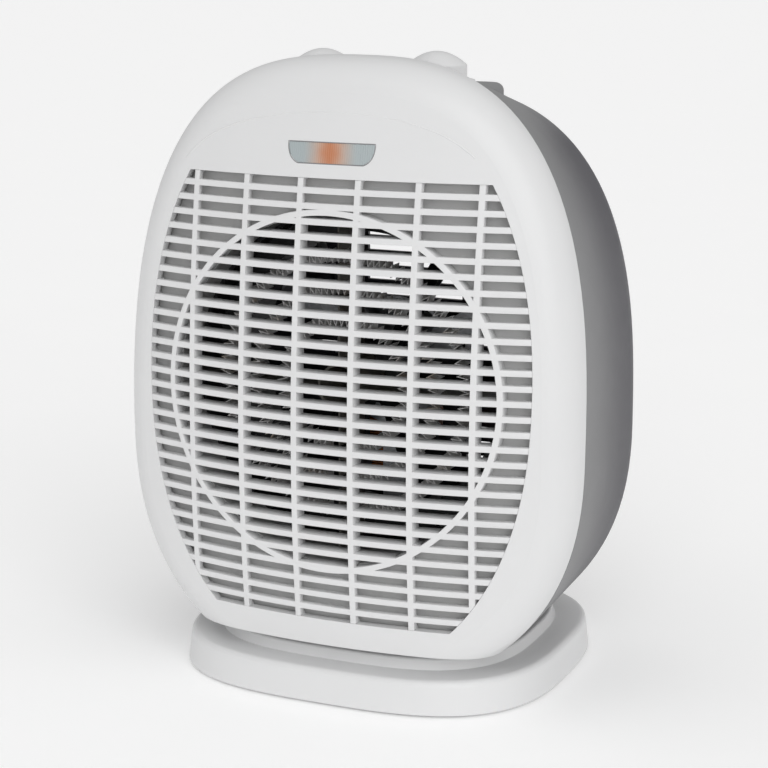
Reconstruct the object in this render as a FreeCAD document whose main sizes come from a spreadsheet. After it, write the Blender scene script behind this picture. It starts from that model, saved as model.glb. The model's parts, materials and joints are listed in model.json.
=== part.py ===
import FreeCAD, Part
import math
import os
import Sketcher
from FreeCAD import Placement, Rotation, Vector

# A fan convector heater: a bulged front shell with a slatted grille, a rear shell that
# carries the two knobs, and an oval base on which the whole head swings from side to side.
#
# Millimetres. +X is the heater's own right as seen from the front, -Y is the front, +Z is up.
# The origin is on the floor, on the swivel axis.

SIZES = {
    # outline of the head, an egg made of two half superellipses
    "half_width": 119.0,
    "widest_z": 121.7,
    "top_rise": 187.1,
    "low_drop": 120.0,
    "top_power": 2.74,
    "low_power": 2.28,
    "body_bottom": 27.0,
    # front face: a barrel that leans back a little
    "face_y": -82.2,
    "face_z": 149.2,
    "face_lean": 2.05,
    "plan_radius": 364.0,
    "upright_radius": 860.0,
    "rim_radius": 20.0,
    "parting_y": -45.0,
    "parting_lean": 2.52,
    # rear shell
    "back_y": 68.0,
    "back_radius": 36.0,
    "side_draft": 0.03,
    "top_fall": 0.245,
    "shell_wall": 2.6,
    # grille
    "slat_pitch": 7.2,
    "gap_height": 4.4,
    "gap_rows": 30.0,
    "bar_spacing": 29.4,
    "bar_width": 2.8,
    "slat_depth": 3.4,
    "core_depth": 8.0,
    "opening_half": 100.0,
    "opening_mid": 155.0,
    "opening_rise": 146.0,
    "opening_drop": 140.0,
    "opening_power": 2.2,
    "flange_reach": 3.5,
    "flange_lip": 1.2,
    "flange_depth": 2.2,
    # air path, all round the fan axis
    "axis_z": 152.2,
    "ring_radius": 87.1,
    "ring_wall": 2.7,
    "ring_depth": 6.0,
    "baffle_depth": 6.6,
    "sheet_wall": 2.0,
    "duct_bore": 84.0,
    "duct_end_y": -47.0,
    "shroud_bore": 82.0,
    "throat_y": -31.0,
    "throat_bore": 71.5,
    "shroud_end_y": 4.0,
    # heating element
    "heater_front_y": -62.0,
    "heater_back_y": -33.0,
    "mica": 0.8,
    "ribbon_width": 9.0,
    "ribbon_thick": 0.35,
    "ribbon_swing": 5.0,
    # impeller and motor
    "fan_radius": 69.0,
    "hub_radius": 16.0,
    "hub_front_y": -24.0,
    "hub_length": 20.0,
    "blade_count": 6.0,
    "shaft_radius": 2.5,
    "run_gap": 0.05,
    "motor_front_y": 8.0,
    "stator_y": 24.0,
    "stator_thick": 16.0,
    "motor_back_y": 52.0,
    "stator_half": 31.0,
    "rotor_radius": 14.2,
    "air_gap": 0.5,
    "bearing_radius": 5.5,
    "bearing_length": 8.0,
    # controls
    "knob_x": 30.1,
    "knob_y": -14.2,
    "knob_radius": 14.5,
    "knob_dome": 6.4,
    "knob_top_z": 309.9,
    "panel_z": 293.3,
    "panel_thick": 3.2,
    "panel_radius": 18.5,
    "pod_half": 52.5,
    "pod_back_y": 26.0,
    "spindle_radius": 3.0,
    "collar_radius": 5.0,
    "control_radius": 14.0,
    # indicator
    "lens_z": 269.9,
    "lens_height": 9.6,
    "lens_half": 21.9,
    "lens_foot_half": 16.4,
    # base
    "base_half_x": 98.3,
    "base_half_y": 87.6,
    "base_power": 3.0,
    "base_draft": 1.8,
    "skirt_low": 1.0,
    "skirt_top": 17.4,
    "ledge_width": 15.5,
    "plateau_z": 22.5,
    "plateau_slope": 3.0,
    "base_wall": 2.6,
    "plate_thick": 2.6,
    "foot_radius": 9.0,
    "foot_x": 68.0,
    "foot_y": 52.0,
    # swivel and its drive
    "pivot_radius": 7.0,
    "pivot_top": 36.6,
    "pivot_boss": 9.5,
    "glide_radius": 52.0,
    "glide_width": 6.0,
    "drive_y": 27.0,
    "crank_throw": 13.5,
    "crank_pin": 2.0,
    "pin_play": 1.2,
    "drive_motor_radius": 21.0,
    "drive_motor_z": 37.0,
    "drive_motor_tall": 14.0,
    # tip-over switch
    "plunger_y": -52.0,
    "plunger_radius": 4.0,
    "plunger_travel": 3.0,
    # fasteners and general clearances
    "screw_radius": 1.6,
    "screw_head": 3.2,
    "seat_gap": 0.2,
    "fit_gap": 0.3,
}

OUTLINE_STEPS = 32
ROUNDING_STEPS = 4
FAR = 400.0
ALONG_Y = Rotation(Vector(1, 0, 0), -90)
UPRIGHT = Rotation()

doc = FreeCAD.newDocument("fan_heater")
sheet = doc.addObject("Spreadsheet::Sheet", "sizes")
for row, (alias, number) in enumerate(SIZES.items(), start=1):
    sheet.set("A%d" % row, alias)
    sheet.set("B%d" % row, repr(number))
    sheet.setAlias("B%d" % row, alias)
doc.recompute()


class Size:
    """A size that carries its number and the spreadsheet formula it comes from."""

    def __init__(self, number, formula):
        self.number = number
        self.formula = formula

    def join(self, other, sign, number):
        return Size(number, "(%s %s %s)" % (self.formula, sign, as_size(other).formula))

    def __add__(self, other):
        return self.join(other, "+", self.number + as_size(other).number)

    def __sub__(self, other):
        return self.join(other, "-", self.number - as_size(other).number)

    def __mul__(self, other):
        return self.join(other, "*", self.number * as_size(other).number)

    def __truediv__(self, other):
        return self.join(other, "/", self.number / as_size(other).number)

    def __radd__(self, other):
        return as_size(other) + self

    def __rsub__(self, other):
        return as_size(other) - self

    def __rmul__(self, other):
        return as_size(other) * self

    def __neg__(self):
        return Size(-self.number, "(0 - %s)" % self.formula)


def as_size(value):
    if isinstance(value, Size):
        return value
    return Size(float(value), "(%r)" % float(value))


class Numbers:
    """The sheet's cells as plain numbers, for shapes that are set in code."""

    def __getattr__(self, alias):
        return float(sheet.get(alias))


class Cells:
    """The sheet's cells as sizes, for properties bound by expressions."""

    def __getattr__(self, alias):
        return Size(float(sheet.get(alias)), "sizes." + alias)


mm = Numbers()
cell = Cells()
parts = []


# ---------------------------------------------------------------- document helpers

def bind(item, prop, amount):
    if isinstance(amount, Size):
        item.setExpression(prop, amount.formula)
    else:
        setattr(item, prop, amount)


def place(item, at, turn=UPRIGHT):
    spot = [as_size(value) for value in at]
    item.Placement = Placement(Vector(*[value.number for value in spot]), turn)
    for axis, value in zip("xyz", at):
        if isinstance(value, Size):
            item.setExpression(".Placement.Base." + axis, value.formula)


def cylinder(name, radius, height, at, turn=UPRIGHT):
    item = doc.addObject("Part::Cylinder", name)
    bind(item, "Radius", radius)
    bind(item, "Height", height)
    place(item, at, turn)
    return item


def box(name, lengths, at):
    item = doc.addObject("Part::Box", name)
    for prop, amount in zip(("Length", "Width", "Height"), lengths):
        bind(item, prop, amount)
    place(item, at)
    return item


def fuse(name, *pieces):
    item = doc.addObject("Part::MultiFuse", name)
    item.Shapes = list(pieces)
    return item


def cut(name, base, *tools):
    item = doc.addObject("Part::Cut", name)
    item.Base = base
    item.Tool = tools[0] if len(tools) == 1 else fuse(name + "_tools", *tools)
    return item


def group(name, pieces):
    item = doc.addObject("Part::Compound", name)
    item.Links = list(pieces)
    return item


def tube(name, outer, inner, height, at, turn=UPRIGHT):
    wall = cylinder(name + "_wall", outer, height, at, turn)
    bore = cylinder(name + "_bore", inner, height, at, turn)
    return cut(name, wall, bore)


def coded(name, shape):
    """A piece whose shape no sketch or primitive gives."""
    item = doc.addObject("Part::Feature", name)
    item.Shape = shape
    item.Placement = Placement()
    return item


def keep(item, label):
    item.Label = label
    parts.append(item)
    return item


def origin_plane(body, role):
    for feature in body.Origin.OriginFeatures:
        if feature.Role == role:
            return feature
    raise ValueError("no plane " + role)


def turned_body(name, profile, at, turn=UPRIGHT):
    """A body turned about its local Z from (radius, height) corners."""
    body = doc.addObject("PartDesign::Body", name)
    sketch = body.newObject("Sketcher::SketchObject", name + "_profile")
    sketch.AttachmentSupport = [(origin_plane(body, "XZ_Plane"), "")]
    sketch.MapMode = "FlatFace"
    corners = [tuple(as_size(value) for value in corner) for corner in profile]
    spots = [Vector(x.number, y.number, 0) for x, y in corners]
    for index, spot in enumerate(spots):
        sketch.addGeometry(Part.LineSegment(spot, spots[(index + 1) % len(spots)]), False)
    for index in range(len(spots)):
        sketch.addConstraint(Sketcher.Constraint("Coincident", index, 2, (index + 1) % len(spots), 1))
    for index, (x, y) in enumerate(corners):
        for kind, axis, amount in (("DistanceX", -2, x), ("DistanceY", -1, y)):
            if amount.number == 0:
                sketch.addConstraint(Sketcher.Constraint("PointOnObject", index, 1, axis))
                continue
            number = sketch.addConstraint(
                Sketcher.Constraint(kind, -1, 1, index, 1, amount.number))
            sketch.setExpression("Constraints[%d]" % number, amount.formula)
    turned = body.newObject("PartDesign::Revolution", name + "_turned")
    turned.Profile = sketch
    turned.ReferenceAxis = (sketch, ["V_Axis"])
    turned.Angle = 360
    body.Tip = turned
    place(body, at, turn)
    return body


# ---------------------------------------------------------------- shapes of the head

def egg_wire(half, rise, drop, mid, powers, y):
    """An upright egg-shaped loop: two half superellipses that meet at the widest height."""
    points = []
    for step in range(OUTLINE_STEPS):
        angle = 2 * math.pi * step / OUTLINE_STEPS
        cosine, sine = math.cos(angle), math.sin(angle)
        power, reach = (powers[0], rise) if sine >= 0 else (powers[1], drop)
        x = half * math.copysign(abs(cosine) ** (2 / power), cosine)
        z = mid + reach * math.copysign(abs(sine) ** (2 / power), sine)
        points.append(Vector(x, y, z))
    loop = Part.BSplineCurve()
    loop.interpolate(points, PeriodicFlag=True)
    return Part.Wire(loop.toShape())


def oval_wire(half_x, half_y, power, z):
    """A flat superellipse loop for the base."""
    points = []
    for step in range(OUTLINE_STEPS):
        angle = 2 * math.pi * step / OUTLINE_STEPS
        cosine, sine = math.cos(angle), math.sin(angle)
        points.append(Vector(
            half_x * math.copysign(abs(cosine) ** (2 / power), cosine),
            half_y * math.copysign(abs(sine) ** (2 / power), sine), z))
    loop = Part.BSplineCurve()
    loop.interpolate(points, PeriodicFlag=True)
    return Part.Wire(loop.toShape())


def block(low, high):
    size = [high[i] - low[i] for i in range(3)]
    return Part.makeBox(*size, Vector(*low))


def rod(radius, start_y, end_y, x=0.0, z=None):
    """A round bar along Y, on the fan axis unless told otherwise."""
    height = mm.axis_z if z is None else z
    return Part.makeCylinder(radius, end_y - start_y, Vector(x, start_y, height), Vector(0, 1, 0))


def barrel(depth):
    """Everything behind the front face, moved back by depth."""
    axis_y = mm.face_y + mm.plan_radius
    reach = mm.plan_radius - depth
    curve = mm.upright_radius - depth
    half = 0.5 * FAR

    def on_arc(rise):
        return Vector(0, axis_y + reach - curve + math.sqrt(curve ** 2 - rise ** 2), mm.face_z + rise)

    top = Vector(0, axis_y, mm.face_z + half)
    foot = Vector(0, axis_y, mm.face_z - half)
    edges = [
        Part.Arc(on_arc(-half), on_arc(0), on_arc(half)).toShape(),
        Part.LineSegment(on_arc(half), top).toShape(),
        Part.LineSegment(top, foot).toShape(),
        Part.LineSegment(foot, on_arc(-half)).toShape(),
    ]
    solid = Part.Face(Part.Wire(edges)).revolve(Vector(0, axis_y, 0), Vector(0, 0, 1), 360)
    solid.rotate(Vector(0, mm.face_y, mm.face_z), Vector(1, 0, 0), -mm.face_lean)
    return solid


def skin(near, far):
    """A layer of the front face between two depths."""
    front = block((-mm.half_width * 2, -FAR, -FAR), (mm.half_width * 2, 0, FAR))
    return barrel(near).common(front).cut(barrel(far))


def behind_parting(gap=0.0):
    """The half space behind the plane where the two shells meet."""
    half = block((-FAR, mm.parting_y + gap, -FAR), (FAR, mm.parting_y + FAR, 2 * FAR))
    half.rotate(Vector(0, mm.parting_y, mm.face_z), Vector(1, 0, 0), -mm.parting_lean)
    return half


def below(z):
    return block((-FAR, -FAR, z - FAR), (FAR, FAR, z))


def front_block(inset):
    wire = egg_wire(mm.half_width - inset, mm.top_rise - inset, mm.low_drop - inset,
                    mm.widest_z, (mm.top_power, mm.low_power), mm.parting_y / 2)
    solid = Part.Face(wire).extrude(Vector(0, mm.face_y * 1.3, 0)).common(barrel(inset))
    rim = [edge for edge in solid.Edges if edge.BoundBox.YMax < mm.parting_y - 2]
    return solid.makeFillet(mm.rim_radius - inset, rim)


def rear_block(inset):
    def section(y):
        back = y - mm.parting_y
        wire = egg_wire(mm.half_width - inset - mm.side_draft * back,
                        mm.top_rise - inset - mm.top_fall * (back - 7),
                        mm.low_drop - inset - mm.side_draft * back,
                        mm.widest_z, (mm.top_power, mm.low_power), y)
        return wire

    back_y = mm.back_y - inset
    solid = Part.makeLoft([section(mm.parting_y - 15), section(back_y)], True, True)
    rim = [edge for edge in solid.Edges if edge.BoundBox.YMin > back_y - 1]
    return solid.makeFillet(mm.back_radius - inset, rim)


def pod(inset):
    """The low platform on top of the rear shell that carries the controls."""
    half = mm.pod_half - inset
    top = mm.panel_z - inset
    solid = block((-half, mm.parting_y + 5, top - 30), (half, mm.pod_back_y - inset, top))
    upright = [edge for edge in solid.Edges
               if edge.BoundBox.ZLength > 5 and edge.BoundBox.YMin > 0]
    solid = solid.makeFillet(10 - inset, upright)
    rim = [edge for edge in solid.Edges
           if edge.BoundBox.ZMin > top - 0.1 and edge.BoundBox.YMax > mm.parting_y + 6]
    return solid.makeFillet(4 - inset, rim)


def crest_cut(inset):
    """Clears the crown of the rear shell down to the platform."""
    front_y = mm.parting_y + 10.5 - inset
    return block((-80, front_y, mm.panel_z - inset), (80, mm.pod_back_y + 10, mm.panel_z + 60))


def opening_prism(grow):
    """The grille opening: an egg cut flat at top and bottom, run along Y."""
    wire = egg_wire(mm.opening_half + grow, mm.opening_rise + grow, mm.opening_drop + grow,
                    mm.opening_mid, (mm.opening_power, mm.opening_power), mm.parting_y / 2)
    prism = Part.Face(wire).extrude(Vector(0, mm.face_y * 1.5, 0))
    top = first_gap_z() + grow
    foot = last_gap_z() - grow
    return prism.common(block((-FAR, -FAR, foot), (FAR, FAR, top)))


def first_gap_z():
    return mm.face_z + (mm.gap_rows / 2 - 0.5) * mm.slat_pitch


def last_gap_z():
    return first_gap_z() - (mm.gap_rows - 1) * mm.slat_pitch - mm.gap_height


def lens_prism(shrink):
    """The indicator's outline: wide at the top, with bowed ends."""
    top = mm.lens_z - shrink
    foot = mm.lens_z - mm.lens_height + shrink
    wide = mm.lens_half - shrink
    narrow = mm.lens_foot_half - shrink
    y = mm.parting_y
    bow = (wide - narrow) * 0.27
    right_bow = Vector((wide + narrow) / 2 + bow, y, (top + foot) / 2 - bow)
    left_bow = Vector(-right_bow.x, y, right_bow.z)
    edges = [
        Part.LineSegment(Vector(-wide, y, top), Vector(wide, y, top)).toShape(),
        Part.Arc(Vector(wide, y, top), right_bow, Vector(narrow, y, foot)).toShape(),
        Part.LineSegment(Vector(narrow, y, foot), Vector(-narrow, y, foot)).toShape(),
        Part.Arc(Vector(-narrow, y, foot), left_bow, Vector(-wide, y, top)).toShape(),
    ]
    return Part.Face(Part.Wire(edges)).extrude(Vector(0, mm.face_y, 0))


def shell_screw_spots():
    """Where the shells are screwed together: two above the grille and two below it."""
    return [(-60, 264), (60, 264), (-50, 32.8), (50, 32.8)]


def duct_ear_spots():
    reach = mm.opening_half + 6.5
    return [(side * reach, mm.axis_z + rise) for side in (-1, 1) for rise in (-28, 8)]


def make_front_shell():
    outer = front_block(0).cut(behind_parting(-0.15))
    hollow = front_block(mm.shell_wall).cut(below(mm.body_bottom + mm.shell_wall))
    shell = outer.cut(below(mm.body_bottom)).cut(hollow)
    shell = shell.cut(opening_prism(0)).cut(lens_prism(0))
    room = front_block(mm.shell_wall / 2)
    posts = [rod(4, mm.face_y, mm.parting_y + 10, x, z) for x, z in shell_screw_spots()]
    posts += [rod(2.9, mm.face_y, ear_y() - 0.01, x, z) for x, z in duct_ear_spots()]
    keep_in = room.cut(behind_parting(-0.15))
    for post in posts:
        shell = shell.fuse(post.common(keep_in))
    holes = [rod(mm.screw_radius - 0.2, mm.parting_y - 12, mm.parting_y + 12, x, z)
             for x, z in shell_screw_spots()]
    holes += [rod(mm.screw_radius - 0.4, ear_y() - 5, ear_y(), x, z) for x, z in duct_ear_spots()]
    return shell.cut(Part.makeCompound(holes))


def ear_y():
    """Front of the ears that hold the duct to the front shell."""
    return mm.face_y + mm.opening_half ** 2 / (2 * mm.plan_radius) + mm.baffle_depth + 3.5


def gap_tool():
    """Everything that the grille's openings take away."""
    rows = []
    for row in range(int(mm.gap_rows)):
        top = first_gap_z() - row * mm.slat_pitch
        rows.append(block((-FAR, -FAR, top - mm.gap_height), (FAR, 0, top)))
    solids = Part.makeCompound(rows)
    bars = []
    for side in (-1, 1):
        for step in (0.5, 1.5, 2.5):
            x = side * step * mm.bar_spacing
            bars.append(block((x - mm.bar_width / 2, -FAR, -FAR), (x + mm.bar_width / 2, 0, FAR)))
    return solids.cut(Part.makeCompound(bars)).cut(ring_wall())


def ring_wall():
    outer = rod(mm.ring_radius, -FAR, 0)
    return outer.cut(rod(mm.ring_radius - mm.ring_wall, -FAR, 0))


def make_grille():
    outside = skin(0, mm.slat_depth).common(opening_prism(-0.15))
    ring = skin(0, mm.ring_depth).common(ring_wall())
    core = skin(0, mm.core_depth).common(rod(mm.duct_bore - mm.fit_gap, -FAR, 0))
    lattice = outside.fuse([core]).cut(gap_tool()).fuse([ring.common(opening_prism(-0.15))])
    flange = opening_prism(mm.flange_reach).cut(opening_prism(-mm.flange_lip))
    near = mm.shell_wall + 0.05
    flange = flange.common(skin(near, near + mm.flange_depth))
    flange = flange.cut(gap_tool().common(opening_prism(0)))
    return lattice.fuse([flange]).removeSplitter()


def make_lens():
    return lens_prism(0.1).common(skin(0.2, mm.shell_wall))


def make_rear_shell():
    outer = rear_block(0).cut(crest_cut(0)).fuse(pod(0)).common(behind_parting(0.15))
    hollow = rear_block(mm.shell_wall).cut(crest_cut(mm.shell_wall)).fuse(pod(mm.shell_wall))
    hollow = hollow.cut(below(mm.body_bottom + mm.shell_wall))
    shell = outer.cut(below(mm.body_bottom)).cut(hollow)
    shell = shell.fuse(swivel_boss())
    wells = []
    for x, z in shell_screw_spots():
        wells.append(rod(4.6, mm.parting_y - 10, mm.back_y, x, z))
    room = rear_block(mm.shell_wall / 2).common(behind_parting(0.15)).cut(below(mm.body_bottom))
    for well in wells:
        shell = shell.fuse(well.common(room))
    for x, z in drive_post_spots():
        shell = shell.fuse(Part.makeCylinder(
            3.5, mm.drive_motor_z - mm.body_bottom - 1, Vector(x, mm.drive_y, z)))
    cuts = [Part.makeCylinder(mm.pivot_radius + mm.run_gap, 20, Vector(0, 0, mm.body_bottom - 5))]
    orbit = mm.crank_throw + mm.crank_pin + 1
    cuts.append(Part.makeCylinder(orbit, mm.shell_wall + 2, Vector(0, mm.drive_y, mm.body_bottom - 1)))
    for x, z in shell_screw_spots():
        cuts.append(rod(mm.screw_head + 0.4, screw_seat_y(), mm.back_y + 5, x, z))
        cuts.append(rod(mm.screw_radius + 0.1, mm.parting_y - 10, mm.back_y, x, z))
    for side in (-1, 1):
        spot = Vector(side * mm.knob_x, mm.knob_y, mm.panel_z - 10)
        cuts.append(Part.makeCylinder(mm.collar_radius + 0.1, 20, spot))
    for x, z in drive_post_spots():
        cuts.append(Part.makeCylinder(
            mm.screw_radius - 0.2, 11, Vector(x, mm.drive_y, mm.drive_motor_z - 9)))
    gland_x, gland_z = gland_spot()
    cuts.append(rod(6.1, mm.back_y - 10, mm.back_y + 5, gland_x, gland_z))
    shell = shell.cut(Part.makeCompound(cuts))
    return shell.cut(Part.makeCompound(intake_slots()))


def screw_seat_y():
    return mm.parting_y + 15


def gland_spot():
    return 42.0, 64.0


def swivel_boss():
    return Part.makeCylinder(mm.pivot_boss, 5.5, Vector(0, 0, mm.body_bottom))


def drive_post_spots():
    reach = mm.drive_motor_radius + 4.5
    return [(-reach, mm.body_bottom + 1), (reach, mm.body_bottom + 1)]


def intake_slots():
    """Rows of slots in the back, inside a circle round the fan axis."""
    slots = []
    field = mm.throat_bore + 1
    pitch = 8.0
    half = 2.0
    columns = 5
    column = 2 * field / columns
    for row in range(-9, 10):
        rise = row * pitch
        width = math.sqrt(max(field ** 2 - (abs(rise) + half) ** 2, 0))
        for index in range(columns):
            low = max(-field + index * column + 1.6, -width)
            high = min(-field + (index + 1) * column - 1.6, width)
            if high - low > 6:
                slots.append(block((low, mm.back_y - 10, mm.axis_z + rise - half),
                                   (high, mm.back_y + 5, mm.axis_z + rise + half)))
    return slots


def make_duct():
    plate = skin(mm.baffle_depth, mm.baffle_depth + mm.sheet_wall).common(opening_prism(2.5))
    pipe = rod(mm.duct_bore + mm.sheet_wall, mm.face_y, mm.duct_end_y).common(barrel(mm.baffle_depth))
    duct = plate.fuse(pipe)
    for x, z in duct_ear_spots():
        side = math.copysign(1, x)
        duct = duct.fuse(rod(3.8, ear_y(), ear_y() + 2.5, x, z))
        for near, far, front in ((mm.opening_half - 6, mm.opening_half + 0.5, ear_y() - 3),
                                 (mm.opening_half - 2, abs(x), ear_y())):
            low, high = sorted((side * near, side * far))
            duct = duct.fuse(block((low, front, z - 3.8), (high, ear_y() + 2.5, z + 3.8)))
    holes = [rod(mm.screw_radius + 0.1, ear_y() - 5, ear_y() + 10, x, z) for x, z in duct_ear_spots()]
    duct = duct.cut(rod(mm.duct_bore, mm.face_y - 10, mm.parting_y + 10))
    return duct.cut(Part.makeCompound(holes)).removeSplitter()


def make_shroud():
    """The black fan shroud: a wide collar, a step in, the fan throat and a rear rim."""
    wall = mm.sheet_wall
    start = mm.duct_end_y
    solid = rod(mm.duct_bore + wall, start, mm.throat_y + wall)
    solid = solid.fuse(rod(mm.throat_bore + wall, start, mm.shroud_end_y))
    solid = solid.fuse(rod(mm.throat_bore + 9, mm.shroud_end_y - wall, mm.shroud_end_y))
    solid = solid.cut(rod(mm.shroud_bore, start - 1, mm.throat_y))
    return solid.cut(rod(mm.throat_bore, start - 1, mm.shroud_end_y + 1)).removeSplitter()


def radial_plate(inner, outer, thick, start_y, end_y, angle):
    plate = block((inner, start_y, -thick / 2), (outer, end_y, thick / 2))
    plate.rotate(Vector(0, 0, 0), Vector(0, 1, 0), -angle)
    plate.translate(Vector(0, 0, mm.axis_z))
    return plate


def make_heater_frame():
    """Four mica boards on an eight-sided mica core."""
    start, end = mm.heater_front_y, mm.heater_back_y
    boards = [radial_plate(11, mm.shroud_bore - mm.fit_gap, mm.mica, start, end, 90 * turn)
              for turn in range(4)]
    corners = [Vector(12 * math.cos(math.radians(22.5 + 45 * k)), start,
                      mm.axis_z + 12 * math.sin(math.radians(22.5 + 45 * k))) for k in range(9)]
    core = Part.Face(Part.makePolygon(corners)).extrude(Vector(0, end - start, 0))
    bore = rod(10.2, start - 1, end + 1)
    frame = core.fuse(boards).cut(bore)
    notches = []
    for turn in range(4):
        for radius in ribbon_radii():
            low = radius - mm.ribbon_swing / 2 - 0.5
            high = radius + mm.ribbon_swing / 2 + 0.5
            notches.append(radial_plate(low, high, 3, start - 1, ribbon_start_y() + mm.ribbon_width + 0.2,
                                        90 * turn))
    return frame.cut(Part.makeCompound(notches)).removeSplitter()


def ribbon_radii():
    return (32.0, 47.5, 63.0)


def ribbon_start_y():
    return mm.heater_front_y + 3


def make_ribbon(radius):
    """One ring of corrugated resistance ribbon, open where its leads are."""
    folds = int(2 * math.pi * radius / 3.2)
    gap = 4
    half_fold = math.pi * radius / folds
    offset = mm.ribbon_thick * math.hypot(mm.ribbon_swing, half_fold) / half_fold
    inner, outer = [], []
    for step in range(gap, 2 * folds - gap):
        angle = math.pi * step / folds - math.pi / 2
        reach = radius + (mm.ribbon_swing / 2) * (1 if step % 2 else -1)
        for line, shift in ((inner, -offset / 2), (outer, offset / 2)):
            line.append(Vector((reach + shift) * math.cos(angle), ribbon_start_y(),
                               mm.axis_z + (reach + shift) * math.sin(angle)))
    loop = Part.makePolygon(inner + outer[::-1] + [inner[0]])
    return Part.Face(loop).extrude(Vector(0, mm.ribbon_width, 0))


def make_impeller():
    front = mm.hub_front_y
    hub = rod(mm.hub_radius, front, front + mm.hub_length)
    hub = hub.makeFillet(3, [edge for edge in hub.Edges if edge.BoundBox.YMax < front + 1])
    blades = []
    for index in range(int(mm.blade_count)):
        root = blade_section(mm.hub_radius - 2, 46, 15)
        tip = blade_section(mm.fan_radius, 27, 36)
        blade = Part.makeLoft([root, tip], True, True)
        blade.rotate(Vector(0, 0, 0), Vector(0, 1, 0), 360 * index / mm.blade_count)
        blade.translate(Vector(0, front + mm.hub_length / 2, mm.axis_z))
        blades.append(blade)
    inside = rod(mm.fan_radius, front - 5, front + mm.hub_length + 5)
    wheel = hub.fuse([blade.common(inside) for blade in blades])
    recess = rod(mm.hub_radius - 3, front + 8, front + mm.hub_length + 1)
    sleeve = rod(5.5, front + 4, front + mm.hub_length)
    return wheel.cut(recess).fuse(sleeve).cut(rod(mm.shaft_radius, front - 5, front + mm.hub_length + 1))


def blade_section(radius, pitch, chord):
    """A bowed strip across the blade at one radius, seen along X."""
    thick = 1.6
    bow = chord * 0.09
    half = chord / 2
    edges = [
        Part.Arc(Vector(radius, 0, -half), Vector(radius, bow, 0), Vector(radius, 0, half)).toShape(),
        Part.LineSegment(Vector(radius, 0, half), Vector(radius, thick, half)).toShape(),
        Part.Arc(Vector(radius, thick, half), Vector(radius, bow + thick, 0),
                 Vector(radius, thick, -half)).toShape(),
        Part.LineSegment(Vector(radius, thick, -half), Vector(radius, 0, -half)).toShape(),
    ]
    wire = Part.Wire(edges)
    wire.rotate(Vector(0, 0, 0), Vector(1, 0, 0), -(90 - pitch))
    return wire


# ---------------------------------------------------------------- sub-parts of the head

def add_head_shells():
    keep(coded("front_shell_shape", make_front_shell()), "front_shell")
    keep(coded("front_grille_shape", make_grille()), "front_grille")
    keep(coded("indicator_lens_shape", make_lens()), "indicator_lens")
    keep(coded("rear_shell_shape", make_rear_shell()), "rear_shell")
    keep(coded("air_duct_shape", make_duct()), "air_duct")
    keep(coded("fan_shroud_shape", make_shroud()), "fan_shroud")


def add_shell_screws():
    screws = []
    for index, (x, z) in enumerate(shell_screw_spots()):
        name = "shell_screw_%d" % (index + 1)
        seat = cell.parting_y + 15
        head = cylinder(name + "_head", cell.screw_head, 2.2, (x, seat, z), ALONG_Y)
        shank = cylinder(name + "_shank", cell.screw_radius - 0.2, 27, (x, seat - 26, z), ALONG_Y)
        screws.append(fuse(name, head, shank))
    keep(group("shell_screw_set", screws), "shell_screws")


def add_duct_screws():
    screws = []
    for index, (x, z) in enumerate(duct_ear_spots()):
        name = "duct_screw_%d" % (index + 1)
        seat = ear_y() + 2.5
        head = cylinder(name + "_head", cell.screw_head, 2, (x, seat, z), ALONG_Y)
        shank = cylinder(name + "_shank", cell.screw_radius - 0.4, 7.5, (x, seat - 7, z), ALONG_Y)
        screws.append(fuse(name, head, shank))
    keep(group("duct_screw_set", screws), "duct_screws")


def add_pilot_lamp():
    """A neon lamp in its holder, behind the lens."""
    z = cell.lens_z - cell.lens_height / 2
    front = cell.face_y + 17.5
    bulb = cylinder("lamp_bulb", 2.4, 9, (0, front, z), ALONG_Y)
    keep(bulb, "pilot_lamp")
    holder = tube("lamp_holder_tube", 4, cell.lens_height / 2 - 1.4, 8, (0, front + 3, z), ALONG_Y)
    reach = cell.lens_half + 4
    stay = box("lamp_holder_stay", (reach * 2 + 5, 1.6, 7), (-reach - 2.5, front + 5, z - 3.5))
    posts = [cylinder("lamp_holder_post_%d" % index, 2.2, 6.2, (side * reach, front - 1.2, z), ALONG_Y)
             for index, side in enumerate((-1, 1))]
    hole = cylinder("lamp_holder_hole", 2.6, 10, (0, front + 1, z), ALONG_Y)
    keep(cut("lamp_holder_body", fuse("lamp_holder_whole", holder, stay, *posts), hole), "lamp_holder")


def add_heater():
    keep(coded("heater_frame_shape", make_heater_frame()), "heater_frame")
    ribbons = [make_ribbon(radius) for radius in ribbon_radii()]
    keep(coded("heater_ribbon_shape", Part.makeCompound(ribbons)), "heater_ribbons")
    y = cell.heater_back_y - 9
    board = cell.mica / 2
    disc = cylinder("cutout_can", 7, 5, (board, y, cell.axis_z - 40), Rotation(Vector(0, 1, 0), 90))
    tab_a = box("cutout_tab_front", (0.6, 5, 12), (board + 1, y - 6.5, cell.axis_z - 46))
    keep(fuse("cutout_body", disc, tab_a), "thermal_cutout")
    fuse_body = cylinder("fuse_can", 2, 13, (-board - 2, cell.heater_back_y - 20, cell.axis_z - 22), ALONG_Y)
    keep(fuse_body, "thermal_fuse")


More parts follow.
